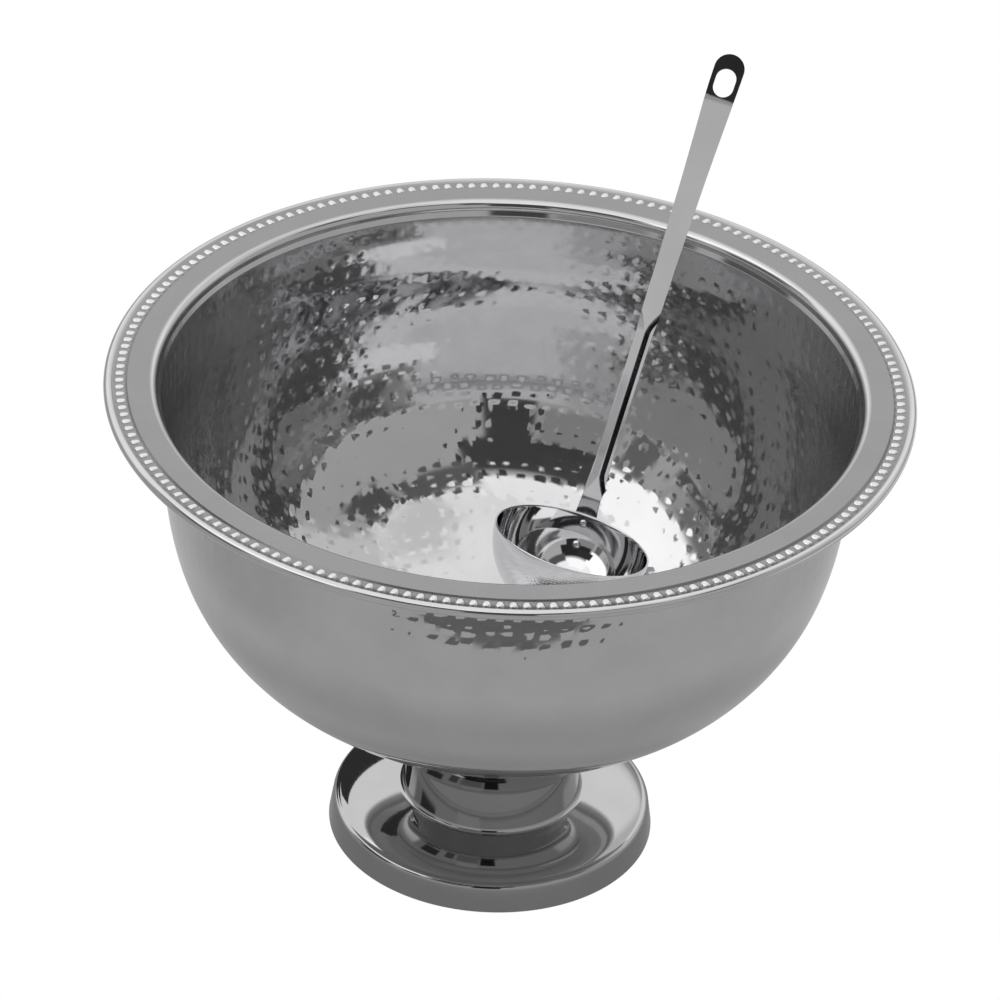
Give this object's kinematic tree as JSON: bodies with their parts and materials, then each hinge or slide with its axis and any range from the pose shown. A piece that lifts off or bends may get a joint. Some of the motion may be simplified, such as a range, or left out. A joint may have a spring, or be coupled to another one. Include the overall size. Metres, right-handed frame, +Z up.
{
  "type": "punch bowl",
  "caption": "Footed steel punch bowl with a hammered wall, a flat beaded rim and a loose riveted ladle standing in it.",
  "frame": {"origin": "centre of the foot on the table", "axes": "+Z up along the bowl's axis, +Y towards the side of the rim that the ladle's handle leans over, +X to the right when +Y points away"},
  "size_m": [0.3679, 0.368, 0.3201],
  "materials": {
    "hammered_steel": "polished stainless steel, hammered",
    "bead_steel": "polished stainless steel",
    "foot_steel": "mirror-polished stainless steel",
    "plain_steel": "unpolished stainless sheet",
    "fastener_steel": "bright zinc-plated steel",
    "cup_steel": "mirror-polished stainless steel",
    "handle_steel": "polished stainless steel strip",
    "rivet_steel": "stainless steel rivet heads"
  },
  "bodies": {
    "bowl": {"bowl_shell": "hammered_steel", "bead_border": "bead_steel", "pedestal": "foot_steel", "seat_dish": "plain_steel", "weld_stud": "plain_steel", "flat_washer": "fastener_steel", "spring_washer": "fastener_steel", "hex_nut": "fastener_steel"},
    "ladle": {"ladle_cup": "cup_steel", "ladle_handle": "handle_steel", "ladle_rivets": "rivet_steel"}
  },
  "joints": [
    {"name": "ladle_lift", "type": "slide", "parent": "bowl", "child": "ladle", "axis": [0, 0, 1], "range_m": [0, 0.24]}
  ]
}
